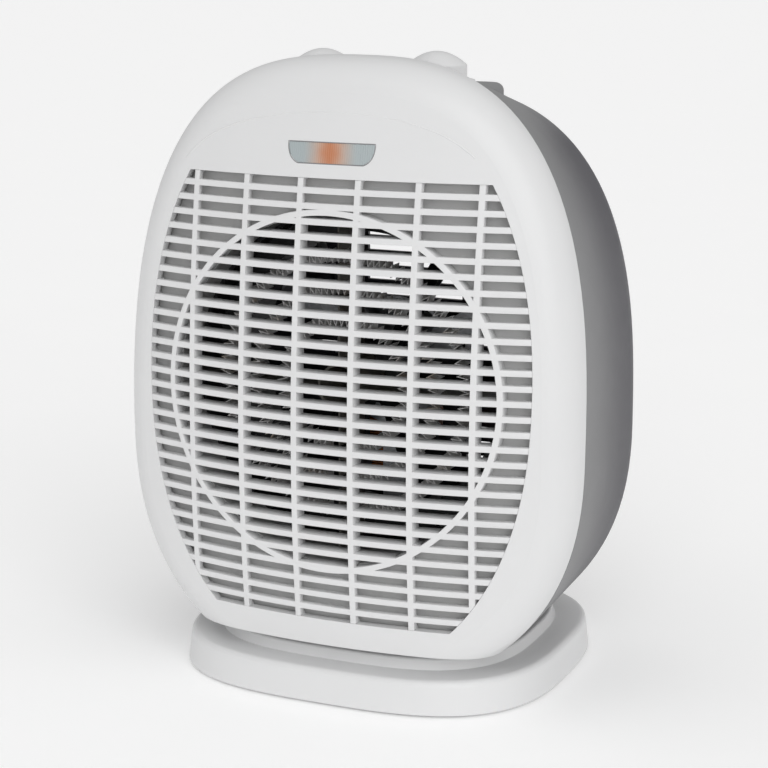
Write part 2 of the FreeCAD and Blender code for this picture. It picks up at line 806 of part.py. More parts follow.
def add_motor():
    z = cell.axis_z
    bore = cell.rotor_radius + cell.air_gap
    half = cell.stator_half
    stack = box("stator_stack", (half * 2, cell.stator_thick, 72), (-half, cell.stator_y, z - 48))
    round_bore = cylinder("stator_bore", bore, cell.stator_thick, (0, cell.stator_y, z), ALONG_Y)
    window = box("stator_window", (38, cell.stator_thick, 17), (-19, cell.stator_y, z - 38))
    bolts = motor_bolts("stator_bolt_hole", cell.screw_radius + 0.1, cell.stator_y, cell.stator_thick)
    keep(cut("stator", stack, round_bore, window, *bolts), "motor_stator")

    coil = box("coil_block", (35, 38, 34), (-17.5, cell.stator_y - 11, z - 60))
    leg = box("coil_leg", (35, cell.stator_thick + 0.4, 10.4), (-17.5, cell.stator_y - 0.2, z - 48.2))
    keep(cut("coil", coil, leg), "motor_coil")

    brackets = [motor_bracket("front", cell.motor_front_y, cell.stator_y),
                motor_bracket("rear", cell.motor_back_y, cell.stator_y + cell.stator_thick)]
    keep(group("bracket_pair", brackets), "motor_brackets")
    ends = (cell.motor_front_y, cell.motor_back_y - cell.bearing_length)
    bushes = [tube("bush_%d" % index, cell.bearing_radius, cell.shaft_radius + cell.run_gap,
                   cell.bearing_length, (0, y, z), ALONG_Y) for index, y in enumerate(ends)]
    keep(group("bush_pair", bushes), "motor_bearings")

    screws = []
    for index, shank in enumerate(motor_bolts("motor_screw_shank", cell.screw_radius,
                                              cell.motor_front_y - 1.8,
                                              cell.motor_back_y - cell.motor_front_y + 1.8)):
        side = 2 * index - 1
        head = cylinder("motor_screw_head_%d" % index, cell.screw_head, 2,
                        (side * 26, cell.motor_back_y, z), ALONG_Y)
        screws.append(fuse("motor_screw_%d" % index, shank, head))
    keep(group("motor_screw_pair", screws), "motor_screws")


def motor_bolts(name, radius, start, length):
    return [cylinder("%s_%d" % (name, index), radius, length, (side * 26, start, cell.axis_z), ALONG_Y)
            for index, side in enumerate((-1, 1))]


def motor_bracket(name, bar_y, stack_y):
    """A bar across the motor with a bearing boss, on two posts that stand on the stack."""
    front = name == "front"
    outer = cell.motor_front_y if front else cell.motor_back_y - 3
    bar = box(name + "_bracket_bar", (60, 3, 13), (-30, outer, cell.axis_z - 6.5))
    low, high = (bar_y, stack_y) if front else (stack_y, bar_y)
    posts = [box("%s_bracket_post_%d" % (name, index), (8, high - low, 13),
                 (side * 26 - 4, low, cell.axis_z - 6.5)) for index, side in enumerate((-1, 1))]
    boss_y = bar_y if front else bar_y - cell.bearing_length
    boss = cylinder(name + "_bracket_boss", 9, cell.bearing_length, (0, boss_y, cell.axis_z), ALONG_Y)
    bore = cylinder(name + "_bracket_bore", cell.bearing_radius, cell.bearing_length + 2,
                    (0, boss_y - 1, cell.axis_z), ALONG_Y)
    holes = motor_bolts(name + "_bracket_hole", cell.screw_radius + 0.1, low, high - low)
    return cut(name + "_bracket", fuse(name + "_bracket_whole", bar, boss, *posts), bore, *holes)


def add_motor_mount():
    """A three-armed steel spider between the shroud's rear rim and the motor."""
    start, thick = cell.shroud_end_y, cell.motor_front_y - cell.shroud_end_y
    ring = cylinder("spider_ring", 33, thick, (0, start, cell.axis_z), ALONG_Y)
    arms = []
    for index in range(3):
        angle = 90 + 120 * index
        arm = doc.addObject("Part::Box", "spider_arm_%d" % index)
        bind(arm, "Length", cell.throat_bore + 8)
        arm.Width = 12
        bind(arm, "Height", thick)
        turn = ALONG_Y.multiply(Rotation(Vector(0, 0, 1), angle))
        shift = turn.multVec(Vector(0, -6, 0))
        place(arm, (shift.x, start, cell.axis_z + shift.z), turn)
        arms.append(arm)
    hole = cylinder("spider_hole", cell.hub_radius - 2, thick, (0, start, cell.axis_z), ALONG_Y)
    bolts = motor_bolts("spider_bolt_hole", cell.screw_radius + 0.1, start, thick)
    keep(cut("spider", fuse("spider_whole", ring, *arms), hole, *bolts), "motor_mount")


def add_fan():
    keep(coded("impeller_shape", make_impeller()), "impeller")
    start = cell.hub_front_y - 5
    length = cell.motor_back_y - start + 2.5
    keep(cylinder("shaft", cell.shaft_radius, length, (0, start, cell.axis_z), ALONG_Y), "motor_shaft")
    rotor = tube("rotor_body", cell.rotor_radius, cell.shaft_radius, cell.stator_thick + 4,
                 (0, cell.stator_y - 2, cell.axis_z), ALONG_Y)
    keep(rotor, "motor_rotor")
    nut = doc.addObject("Part::Prism", "fan_nut_hex")
    nut.Polygon = 6
    nut.Circumradius = 4.6
    nut.Height = 3.5
    place(nut, (0, cell.hub_front_y - 3.5, cell.axis_z), ALONG_Y)
    hole = cylinder("fan_nut_hole", cell.shaft_radius, 3.5,
                    (0, cell.hub_front_y - 3.5, cell.axis_z), ALONG_Y)
    keep(cut("fan_nut_body", nut, hole), "impeller_nut")


# ---------------------------------------------------------------- controls

def add_controls():
    top = cell.panel_z + cell.panel_thick
    radius = cell.panel_radius
    bar = box("panel_bar", (cell.knob_x * 2, radius * 2, cell.panel_thick),
              (-cell.knob_x, cell.knob_y - radius, cell.panel_z))
    ends = [cylinder("panel_end_%d" % index, radius, cell.panel_thick,
                     (side * cell.knob_x, cell.knob_y, cell.panel_z))
            for index, side in enumerate((-1, 1))]
    holes = [cylinder("panel_hole_%d" % index, cell.collar_radius + 0.1, cell.panel_thick,
                      (side * cell.knob_x, cell.knob_y, cell.panel_z))
             for index, side in enumerate((-1, 1))]
    keep(cut("panel", fuse("panel_whole", bar, *ends), *holes), "control_panel")

    under = cell.panel_z - cell.shell_wall
    for side, name, body_name in ((-1, "thermostat", "thermostat_body"), (1, "selector", "selector_switch")):
        x = side * cell.knob_x
        can = cylinder(name + "_can", cell.control_radius, 13, (x, cell.knob_y, under - 13))
        collar = cylinder(name + "_collar", cell.collar_radius, 13 + top - under,
                          (x, cell.knob_y, under - 13))
        bore = cylinder(name + "_bore", cell.spindle_radius + cell.run_gap, 40,
                        (x, cell.knob_y, under - 9))
        keep(cut(name + "_case", fuse(name + "_case_whole", can, collar), bore), body_name)
        spindle_top = cell.knob_top_z - 4
        keep(cylinder(name + "_spindle_rod", cell.spindle_radius, spindle_top - under + 8,
                      (x, cell.knob_y, under - 8)), name + "_spindle")
        height = cell.knob_top_z - top - cell.fit_gap
        dome = height - cell.knob_dome
        reach = cell.knob_radius
        seat = height - 4
        profile = [(cell.spindle_radius, 0), (reach, 0), (reach, dome)]
        for step in range(1, 6):
            angle = math.radians(90 * step / 6)
            profile.append((reach * math.cos(angle), dome + cell.knob_dome * math.sin(angle) ** 2))
        profile += [(0, height), (0, seat), (cell.spindle_radius, seat)]
        at = (x, cell.knob_y, top + cell.fit_gap)
        keep(turned_body(name + "_knob_body", profile, at), name + "_knob")


def add_cord_inlet():
    """A rubber bush with a collar each side of the back wall; no lead is fitted."""
    x, z = gland_spot()
    wall = cell.shell_wall
    profile = [(3.6, 0), (8.2, 0), (8.2, 2), (5.9, 2), (5.9, wall + 2), (8.2, wall + 2),
               (7.2, wall + 5), (3.6, wall + 5)]
    at = (x, cell.back_y - wall - 2, z)
    keep(turned_body("cord_bush", profile, at, ALONG_Y), "cord_gland")
    keep(box("terminal_strip", (34, 12, 11), (-17, 49, cell.body_bottom + wall)), "terminal_block")


# ---------------------------------------------------------------- swivel drive

def add_swivel_drive():
    z = cell.drive_motor_z
    y = cell.drive_y
    can = cylinder("drive_can", cell.drive_motor_radius, cell.drive_motor_tall, (0, y, z))
    ears = box("drive_ears", (cell.drive_motor_radius * 2 + 16, 9, 1.6),
               (-cell.drive_motor_radius - 8, y - 4.5, z))
    reach = cell.drive_motor_radius + 4.5
    holes = [cylinder("drive_ear_hole_%d" % index, cell.screw_radius + 0.1, 1.6, (side * reach, y, z))
             for index, side in enumerate((-1, 1))]
    bore = cylinder("drive_shaft_bore", cell.shaft_radius + cell.run_gap, 5, (0, y, z))
    keep(cut("drive_motor", fuse("drive_whole", can, ears), bore, *holes), "oscillation_motor")
    screws = []
    for index, side in enumerate((-1, 1)):
        head = cylinder("drive_screw_head_%d" % index, cell.screw_head, 2, (side * reach, y, z + 1.6))
        shank = cylinder("drive_screw_shank_%d" % index, cell.screw_radius - 0.2, 10,
                         (side * reach, y, z - 8.4))
        screws.append(fuse("drive_screw_%d" % index, head, shank))
    keep(group("drive_screw_pair", screws), "drive_screws")

    disc_z = cell.body_bottom + cell.shell_wall + 2.4
    disc = cylinder("crank_disc_plate", cell.crank_throw + cell.crank_pin + 0.6, 3, (0, y, disc_z))
    pin = cylinder("crank_disc_pin", cell.crank_pin, disc_z - cell.plateau_z + 3,
                   (0, y + cell.crank_throw, cell.plateau_z - 3))
    shaft = cylinder("crank_disc_shaft", cell.shaft_radius, z + 4 - disc_z, (0, y, disc_z))
    keep(fuse("crank", disc, pin, shaft), "crank_disc")


def add_base():
    keep(coded("base_cover_shape", make_base_cover()), "base_cover")
    keep(coded("base_plate_shape", make_base_plate()), "base_plate")
    feet = [cylinder("foot_%d_%d" % (i, j), cell.foot_radius, cell.skirt_low + 1.4,
                     (side_x * cell.foot_x, side_y * cell.foot_y, 0))
            for i, side_x in enumerate((-1, 1)) for j, side_y in enumerate((-1, 1))]
    keep(group("foot_set", feet), "rubber_feet")
    screws = []
    for index, (x, y) in enumerate(base_screw_spots()):
        name = "base_screw_%d" % (index + 1)
        head = cylinder(name + "_head", cell.screw_head, 1.4, (x, y, cell.skirt_low))
        shank = cylinder(name + "_shank", cell.screw_radius - 0.2, 10, (x, y, cell.skirt_low + 1))
        screws.append(fuse(name, head, shank))
    keep(group("base_screw_set", screws), "base_screws")

    radius = cell.pivot_radius
    low = cell.plateau_z - 5.2
    groove = cell.body_bottom + 7.2
    profile = [(0, 0), (9.5, 0), (9.5, 2.6), (radius, 2.6), (radius, groove - low),
               (radius - 1.2, groove - low), (radius - 1.2, groove - low + 1.2),
               (radius, groove - low + 1.2), (radius, cell.pivot_top - low), (0, cell.pivot_top - low)]
    keep(turned_body("pivot", profile, (0, 0, low)), "swivel_pin")
    washer_z = cell.body_bottom + 5.5 + cell.seat_gap
    keep(tube("pivot_washer", 9.4, radius + 0.05, 1.4, (0, 0, washer_z)), "swivel_washer")
    clip = tube("clip_ring", 9.2, radius - 1.15, 1.0, (0, 0, groove + 0.1))
    mouth = box("clip_mouth", (7, 12, 4), (-3.5, -12, groove - 1))
    keep(cut("clip", clip, mouth), "swivel_clip")
    keep(tube("glide", cell.glide_radius, cell.glide_radius - cell.glide_width,
              cell.body_bottom - cell.seat_gap - cell.plateau_z + 1, (0, 0, cell.plateau_z - 1)),
         "glide_ring")


def base_screw_spots():
    return [(-44, -58), (44, -58), (-44, 58), (44, 58)]


def oval_block(half_x, half_y, low, high, shrink, rounding):
    """A drafted block with a rounded top edge, lofted in straight bands."""
    loops = [oval_wire(half_x, half_y, mm.base_power, low)]
    for step in range(ROUNDING_STEPS + 1):
        turn = math.pi / 2 * step / ROUNDING_STEPS
        z = high - rounding * (1 - math.sin(turn))
        drawn_in = shrink * (high - rounding - low) / (high - low) + rounding * (1 - math.cos(turn))
        loops.append(oval_wire(half_x - drawn_in, half_y - drawn_in, mm.base_power, z))
    return Part.makeLoft(loops, True, True)


def base_outer(inset):
    """Skirt and plateau as one stepped block."""
    half_x, half_y = mm.base_half_x - inset, mm.base_half_y - inset
    skirt = oval_block(half_x, half_y, mm.skirt_low, mm.skirt_top - inset, mm.base_draft,
                       3.0 if inset == 0 else 1.0)
    step = mm.ledge_width
    plateau = oval_block(half_x - step, half_y - step, mm.skirt_top - inset - 2,
                         mm.plateau_z - inset, mm.plateau_slope, 1.5 if inset == 0 else 0.5)
    return skirt.fuse(plateau)


def make_base_cover():
    cover = base_outer(0).cut(base_outer(mm.base_wall))
    cover = cover.cut(block((-FAR, -FAR, -FAR), (FAR, FAR, mm.skirt_low)))
    ceiling = mm.plateau_z - mm.base_wall / 2
    floor = mm.skirt_low + mm.plate_thick
    bosses = [Part.makeCylinder(4, ceiling - floor, Vector(x, y, floor)) for x, y in base_screw_spots()]
    bosses.append(Part.makeCylinder(12, 3, Vector(0, 0, mm.plateau_z - mm.base_wall)))
    cover = cover.fuse(bosses)
    slot = mm.crank_pin + mm.pin_play
    near = mm.drive_y - mm.crank_throw - slot
    far = mm.drive_y + mm.crank_throw + slot + 1
    cuts = [Part.makeCylinder(mm.pivot_radius + mm.run_gap, FAR, Vector(0, 0, 0)),
            block((-slot, near, mm.skirt_top - 3), (slot, far, mm.plateau_z + 5)),
            Part.makeCylinder(mm.glide_radius + 0.1, 2, Vector(0, 0, mm.plateau_z - 1)).cut(
                Part.makeCylinder(mm.glide_radius - mm.glide_width - 0.1, 2,
                                  Vector(0, 0, mm.plateau_z - 1)))]
    cuts += [Part.makeCylinder(mm.screw_radius - 0.3, 9, Vector(x, y, floor)) for x, y in base_screw_spots()]
    return cover.cut(Part.makeCompound(cuts))


def make_base_plate():
    half_x = mm.base_half_x - mm.base_wall - mm.base_draft - mm.fit_gap
    half_y = mm.base_half_y - mm.base_wall - mm.base_draft - mm.fit_gap
    plate = Part.Face(oval_wire(half_x, half_y, mm.base_power, mm.skirt_low)).extrude(
        Vector(0, 0, mm.plate_thick))
    cuts = []
    for side_x in (-1, 1):
        for side_y in (-1, 1):
            spot = Vector(side_x * mm.foot_x, side_y * mm.foot_y, 0)
            cuts.append(Part.makeCylinder(mm.foot_radius + 0.05, mm.skirt_low + 1.4, spot))
    for x, y in base_screw_spots():
        cuts.append(Part.makeCylinder(mm.screw_radius + 0.1, 10, Vector(x, y, 0)))
        cuts.append(Part.makeCylinder(mm.screw_head + 0.3, mm.skirt_low + 1.4, Vector(x, y, 0)))
    cuts.append(Part.makeCylinder(mm.plunger_radius + mm.fit_gap, 10, Vector(0, mm.plunger_y, 0)))
    return plate.cut(Part.makeCompound(cuts))


def add_tip_switch():
    """A plunger that the floor holds in, under a small switch on the base's ceiling."""
    radius = cell.plunger_radius
    floor = cell.skirt_low + cell.plate_thick
    collar = floor + cell.plunger_travel
    profile = [(0, 0), (radius - 1, 0), (radius, 1), (radius, collar), (radius + 2.5, collar),
               (radius + 2.5, collar + 1.4), (radius - 2, collar + 1.4), (radius - 2, collar + 3.2),
               (0, collar + 3.2)]
    keep(turned_body("plunger", profile, (0, cell.plunger_y, 0)), "tip_plunger")
    low = collar + 3.2 + cell.seat_gap
    body = box("tip_switch_box", (20, 7, cell.plateau_z - cell.base_wall - low - 1),
               (-10, cell.plunger_y - 3.5, low + 1))
    button = box("tip_switch_button", (3, 3, 1), (-1.5, cell.plunger_y - 1.5, low))
    keep(fuse("tip_switch_body", body, button), "tip_switch")


def main():
    add_base()
    add_tip_switch()
    add_swivel_drive()
    add_controls()
    add_cord_inlet()
    add_shell_screws()
    add_duct_screws()
    add_pilot_lamp()
    add_heater()
    add_motor()
    add_motor_mount()
    add_fan()
    add_head_shells()
    doc.recompute()
    check_document()
    write_parts()


def check_document():
    for item in doc.Objects:
        if {"Invalid", "Error"} & set(item.State):
            raise RuntimeError("failed object " + item.Name)
    for item in parts:
        if item.Shape.isNull() or not item.Shape.isValid():
            raise RuntimeError("bad shape " + item.Label)


def write_parts():
    os.makedirs("parts", exist_ok=True)
    for item in parts:
        item.Shape.exportStep("parts/%s.step" % item.Label)
        print("%-20s %2d solids %9.0f mm3" % (item.Label, len(item.Shape.Solids), item.Shape.Volume))


main()
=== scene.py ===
"""The visual model of an upright fan heater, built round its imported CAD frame.

Metres. +X is the heater's own right seen from the front, -Y the front, +Z up; the origin is on
the floor, on the swivel axis.
"""
import json
import math

import bpy
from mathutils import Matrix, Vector

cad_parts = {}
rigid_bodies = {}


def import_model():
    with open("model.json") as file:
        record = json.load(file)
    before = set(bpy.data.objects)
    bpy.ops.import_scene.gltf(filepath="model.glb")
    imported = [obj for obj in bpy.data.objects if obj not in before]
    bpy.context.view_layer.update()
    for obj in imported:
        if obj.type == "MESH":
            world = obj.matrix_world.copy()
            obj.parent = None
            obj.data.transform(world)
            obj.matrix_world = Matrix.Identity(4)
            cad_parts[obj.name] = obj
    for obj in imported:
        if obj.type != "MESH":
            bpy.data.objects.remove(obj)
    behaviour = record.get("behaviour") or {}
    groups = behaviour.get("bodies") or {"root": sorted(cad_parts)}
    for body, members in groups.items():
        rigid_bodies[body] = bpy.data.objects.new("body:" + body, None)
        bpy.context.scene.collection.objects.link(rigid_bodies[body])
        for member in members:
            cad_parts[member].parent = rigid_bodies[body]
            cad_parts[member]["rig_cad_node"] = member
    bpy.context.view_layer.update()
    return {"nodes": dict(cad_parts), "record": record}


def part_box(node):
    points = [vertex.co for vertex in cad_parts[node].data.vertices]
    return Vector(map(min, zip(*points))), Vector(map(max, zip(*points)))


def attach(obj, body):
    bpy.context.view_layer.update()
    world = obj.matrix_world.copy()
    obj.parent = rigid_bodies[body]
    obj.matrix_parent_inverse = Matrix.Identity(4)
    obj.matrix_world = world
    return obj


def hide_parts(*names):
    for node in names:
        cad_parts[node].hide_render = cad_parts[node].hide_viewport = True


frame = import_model()
NODES = frame["nodes"]
MM = 0.001


# ------------------------------------------------------------------ shader maths

class Socket:
    """A node socket that Python operators turn into Math nodes."""

    def __init__(self, material, socket):
        self.material = material
        self.socket = socket

    def math(self, operation, *others):
        values = {0: self}
        for index, other in enumerate(others, start=1):
            values[index] = other
        return self.material.node("ShaderNodeMath", {"operation": operation}, values)

    def __add__(self, other):
        return self.math("ADD", other)

    def __radd__(self, other):
        return self.math("ADD", other)

    def __sub__(self, other):
        return self.math("SUBTRACT", other)

    def __rsub__(self, other):
        return self.material.node("ShaderNodeMath", {"operation": "SUBTRACT"}, {0: other, 1: self})

    def __mul__(self, other):
        return self.math("MULTIPLY", other)

    def __rmul__(self, other):
        return self.math("MULTIPLY", other)

    def __truediv__(self, other):
        return self.math("DIVIDE", other)

    def absolute(self):
        return self.math("ABSOLUTE")

    def fraction(self):
        return self.math("FRACT")

    def sine(self):
        return self.math("SINE")

    def smooth(self, low, high):
        """0 below low, 1 above high, with an eased step between."""
        return self.material.node("ShaderNodeMapRange", {"interpolation_type": "SMOOTHSTEP"},
                                  {"Value": self, "From Min": low, "From Max": high})


class Finish:
    """A material on one Principled shader, built from socket expressions."""

    def __init__(self, name, **constants):
        self.data = bpy.data.materials.new(name)
        self.data.use_nodes = True
        self.tree = self.data.node_tree
        self.tree.nodes.clear()
        self.shader = self.tree.nodes.new("ShaderNodeBsdfPrincipled")
        self.out = self.tree.nodes.new("ShaderNodeOutputMaterial")
        self.tree.links.new(self.shader.outputs[0], self.out.inputs["Surface"])
        for socket, value in constants.items():
            self.shader.inputs[socket.replace("_", " ")].default_value = value
        self.place = None

    def node(self, kind, settings=None, inputs=None, output=0):
        made = self.tree.nodes.new(kind)
        for key, value in (settings or {}).items():
            if key == "stops":
                self.set_stops(made.color_ramp, value)
            else:
                setattr(made, key, value)
        for key, value in (inputs or {}).items():
            if isinstance(value, Socket):
                self.tree.links.new(value.socket, made.inputs[key])
            else:
                made.inputs[key].default_value = value
        return Socket(self, made.outputs[output])

    @staticmethod
    def set_stops(ramp, stops):
        while len(ramp.elements) < len(stops):
            ramp.elements.new(0.5)
        for element, (position, colour) in zip(ramp.elements, stops):
            element.position = position
            element.color = colour

    def position(self):
        """Object coordinates, in metres."""
        if self.place is None:
            self.place = self.node("ShaderNodeTexCoord", output=3)
        return self.place

    def axes(self):
        split = self.node("ShaderNodeSeparateXYZ", {}, {0: self.position()})
        node = split.socket.node
        return [Socket(self, node.outputs[index]) for index in range(3)]

    def noise(self, scale, detail=3.0, roughness=0.55, place=None):
        return self.node("ShaderNodeTexNoise", {},
                         {"Vector": place or self.position(), "Scale": scale, "Detail": detail,
                          "Roughness": roughness})

    def stretched(self, x, y, z):
        return self.node("ShaderNodeMapping", {},
                         {"Vector": self.position(), "Scale": (x, y, z)})

    def mix(self, mask, low, high):
        """A colour between low and high."""
        mixer = self.tree.nodes.new("ShaderNodeMix")
        mixer.data_type = "RGBA"
        for index, value in ((0, mask), (6, low), (7, high)):
            if isinstance(value, Socket):
                self.tree.links.new(value.socket, mixer.inputs[index])
            elif index == 0:
                mixer.inputs[0].default_value = value
            else:
                mixer.inputs[index].default_value = (*value, 1.0)
        return Socket(self, mixer.outputs[2])

    def feed(self, socket, value):
        self.tree.links.new(value.socket, self.shader.inputs[socket])

    def bump(self, height, depth, strength=1.0):
        made = self.node("ShaderNodeBump", {}, {"Height": height, "Distance": depth,
                                                "Strength": strength})
        self.feed("Normal", made)


# ------------------------------------------------------------------ finishes

def moulded(name, low, high, rough, grain, coat=0.0):
    """Moulded plastic: a faint mottle in colour and gloss, and a fine spark-eroded grain."""
    finish = Finish(name, Coat_Weight=coat, Coat_Roughness=0.25, IOR=1.47)
    cloudy = finish.noise(18.0, 4.0)
    finish.feed("Base Color", finish.mix(cloudy, low, high))
    patch = finish.noise(70.0, 5.0, 0.6)
    fine = finish.noise(2600.0, 2.0, 0.5)
    finish.feed("Roughness", rough - 0.05 + patch * 0.10)
    finish.bump(fine * 0.8 + finish.noise(900.0, 2.0) * 0.4, grain)
    return finish


def white_plastic():
    return moulded("white_plastic", (0.700, 0.702, 0.706), (0.730, 0.731, 0.733), 0.38, 0.00004,
                   coat=0.12)


def grey_plastic():
    """The rear shell's grey with painted shade: light by the front shell and on top, painted darker
    and cooler towards the back.
    """
    finish = Finish("grey_plastic", IOR=1.46)
    _x, y, z = finish.axes()
    # Painted shade: the shell is painted darker towards the back, except on its top.
    painted_shade_mask = y.smooth(-0.050, 0.030) * (1 - z.smooth(0.262, 0.290))
    cloudy = finish.noise(18.0, 4.0)
    near = finish.mix(cloudy, (0.215, 0.215, 0.219), (0.240, 0.240, 0.244))
    # far is the shaded copy of the grey, painted dark as the shade behind.
    far = finish.mix(cloudy, (0.062, 0.060, 0.070), (0.076, 0.074, 0.084))
    finish.feed("Base Color", finish.mix(painted_shade_mask, near, far))
    finish.feed("Roughness", 0.44 + finish.noise(70.0, 5.0, 0.6) * 0.10)
    finish.bump(finish.noise(2600.0, 2.0) * 0.8 + finish.noise(900.0, 2.0) * 0.4, 0.00009)
    return finish


def duct_grey():
    """Grey-coated sheet with faint drawing lines."""
    finish = Finish("duct_grey", IOR=1.45)
    cloudy = finish.noise(30.0, 4.0)
    lines = finish.noise(1.0, 2.0, 0.5, finish.stretched(40.0, 40.0, 2200.0))
    finish.feed("Base Color", finish.mix(cloudy, (0.46, 0.46, 0.46), (0.54, 0.54, 0.535)))
    finish.feed("Roughness", 0.42 + lines * 0.16)
    finish.bump(lines, 0.00003)
    return finish


def black_plastic():
    return moulded("black_plastic", (0.012, 0.012, 0.013), (0.022, 0.022, 0.023), 0.45, 0.00008)


def rubber():
    finish = Finish("rubber", IOR=1.5)
    dusty = finish.noise(120.0, 5.0, 0.65)
    finish.feed("Base Color", finish.mix(dusty.smooth(0.45, 0.8), (0.018, 0.018, 0.018),
                                         (0.05, 0.048, 0.045)))
    finish.feed("Roughness", 0.72 + dusty * 0.2)
    finish.bump(finish.noise(1800.0, 3.0), 0.00012)
    return finish


def metal(name, low, high, rough, turned=0.0, wear=0.2):
    """Bare metal with brush or turning marks along X and light staining."""
    finish = Finish(name, Metallic=1.0)
    brush = finish.noise(1.0, 3.0, 0.6, finish.stretched(60.0, 1500.0, 1500.0))
    stain = finish.noise(90.0, 5.0, 0.6)
    finish.feed("Base Color", finish.mix(stain, low, high))
    finish.feed("Roughness", rough - 0.06 + brush * 0.12 + stain * wear * 0.4)
    finish.bump(brush + stain * turned, 0.00002)
    return finish


def steel():
    return metal("steel", (0.50, 0.51, 0.53), (0.66, 0.66, 0.67), 0.30)


def spring_steel():
    return metal("spring_steel", (0.16, 0.16, 0.18), (0.24, 0.23, 0.24), 0.35)


def heater_alloy():
    """Bright resistance ribbon, faintly heat-tinted in patches."""
    finish = Finish("heater_alloy", Metallic=0.25)
    tint = finish.noise(60.0, 3.0)
    warm = finish.mix(tint.smooth(0.55, 0.75), (0.86, 0.85, 0.84), (0.66, 0.58, 0.50))
    finish.feed("Base Color", warm)
    finish.feed("Roughness", 0.22 + finish.noise(400.0, 2.0) * 0.14)
    return finish


def zinc_plate():
    """Galvanised sheet: its spangle shows as flat grey patches."""
    finish = Finish("zinc_plate", Metallic=1.0)
    cells = finish.node("ShaderNodeTexVoronoi", {"feature": "F1"},
                        {"Vector": finish.position(), "Scale": 260.0}, output=1)
    shade = finish.node("ShaderNodeSeparateColor", {}, {0: cells})
    finish.feed("Base Color", finish.mix(shade, (0.42, 0.43, 0.45), (0.60, 0.61, 0.63)))
    finish.feed("Roughness", 0.30 + shade * 0.18)
    return finish


def cast_aluminium():
    finish = Finish("cast_aluminium", Metallic=1.0)
    grain = finish.noise(700.0, 4.0, 0.6)
    finish.feed("Base Color", finish.mix(grain, (0.56, 0.57, 0.58), (0.72, 0.72, 0.73)))
    finish.feed("Roughness", 0.42 + grain * 0.15)
    finish.bump(grain, 0.00006)
    return finish


def bronze():
    return metal("bronze", (0.38, 0.24, 0.10), (0.55, 0.37, 0.17), 0.34)


def copper_wire():
    """Enamelled wire, wound in even turns across the coil, with painted shade darkening the grooves
    between turns.
    """
    finish = Finish("copper_wire", Metallic=0.85, Coat_Weight=0.5, Coat_Roughness=0.12)
    _x, y, z = finish.axes()
    turns = ((y + z) * 1000.0 / 0.6 * 3.1416).sine()
    turn_relief_and_shade = turns * 0.5 + 0.5
    # Painted shade: the colour darkens in the grooves between turns; the same wave shapes the bump.
    finish.feed("Base Color", finish.mix(turn_relief_and_shade, (0.10, 0.028, 0.008), (0.46, 0.16, 0.05)))
    finish.feed("Roughness", 0.30 + finish.noise(300.0) * 0.12)
    finish.bump(turn_relief_and_shade, 0.00018)
    return finish


def lamination():
    """Edges of stacked electrical sheet: fine dark lines every half millimetre."""
    finish = Finish("lamination", Metallic=0.8)
    _x, y, _z = finish.axes()
    sheet = (y * 1000.0 / 0.5).fraction()
    seam = (sheet - 0.5).absolute().smooth(0.36, 0.48)
    rust = finish.noise(80.0, 5.0, 0.65).smooth(0.52, 0.75)
    steel_colour = finish.mix(seam, (0.24, 0.24, 0.26), (0.05, 0.05, 0.055))
    finish.feed("Base Color", finish.mix(rust * 0.35, steel_colour, (0.20, 0.10, 0.05)))
    finish.feed("Roughness", 0.42 + rust * 0.3)
    finish.bump(1 - seam, 0.0001)
    return finish


def mica():
    """Layered mica board: silvery brown flakes under a faint gloss."""
    finish = Finish("mica", Coat_Weight=0.25, Coat_Roughness=0.3, IOR=1.56)
    flakes = finish.node("ShaderNodeTexVoronoi", {"feature": "F1"},
                         {"Vector": finish.position(), "Scale": 420.0}, output=1)
    flake = finish.node("ShaderNodeSeparateColor", {}, {0: flakes})
    cloud = finish.noise(50.0, 5.0, 0.65)
    finish.feed("Base Color", finish.mix(flake * 0.45 + cloud * 0.45, (0.07, 0.065, 0.055),
                                         (0.24, 0.22, 0.19)))
    finish.feed("Roughness", 0.40 + flake * 0.25)
    finish.bump(flake * 0.6 + cloud, 0.00006)
    return finish


def natural_plastic():
    return moulded("natural_plastic", (0.62, 0.60, 0.55), (0.70, 0.68, 0.63), 0.40, 0.00005)


def ceramic_white():
    finish = Finish("ceramic_white", Coat_Weight=0.4, Coat_Roughness=0.15)
    speck = finish.noise(900.0, 2.0, 0.7).smooth(0.68, 0.74)
    finish.feed("Base Color", finish.mix(speck, (0.72, 0.71, 0.68), (0.42, 0.38, 0.33)))
    finish.feed("Roughness", 0.30 + finish.noise(120.0) * 0.15)
    return finish


def clear_lens():
    """Frosted clear plastic with a lamp behind it; the lamp's orange glow through the middle is
    painted on the lens as colour and emission, and the prism ribs are painted darker at their edges
    as shade.
    """
    finish = Finish("clear_lens", IOR=1.49, Coat_Weight=0.6, Coat_Roughness=0.06)
    x, _y, z = finish.axes()
    middle = (LENS_LOW.z + LENS_HIGH.z) / 2
    half = (LENS_HIGH.x - LENS_LOW.x) / 2
    across = ((x + 0.0005) / (half * 0.62)).absolute()
    up = (z - middle) / (LENS_HIGH.z - LENS_LOW.z)
    wash = finish.noise(160.0, 2.0) * 0.16 - 0.08
    glow = 1 - (across + wash).smooth(0.25, 1.05)
    core = 1 - (across * 1.7 + up.absolute() * 0.5 + wash).smooth(0.1, 1.15)
    prisms = ((x * 1000.0 / 1.1).fraction() - 0.5).absolute() * 2
    # Painted shade: the prism ribs darken towards their edges.
    clear = finish.mix(prisms * 0.35, (0.40, 0.45, 0.46), (0.30, 0.34, 0.35))
    # Painted glow: the lamp's light through the lens is painted as orange colour and emission.
    amber = finish.mix(core, (0.44, 0.32, 0.25), (0.42, 0.17, 0.085))
    finish.feed("Base Color", finish.mix(glow, clear, amber))
    finish.feed("Emission Color", finish.mix(glow, (0.0, 0.0, 0.0), (0.16, 0.05, 0.015)))
    finish.shader.inputs["Emission Strength"].default_value = 0.55
    finish.feed("Roughness", 0.22 + prisms * 0.12)
    finish.bump(prisms, 0.00012)
    return finish


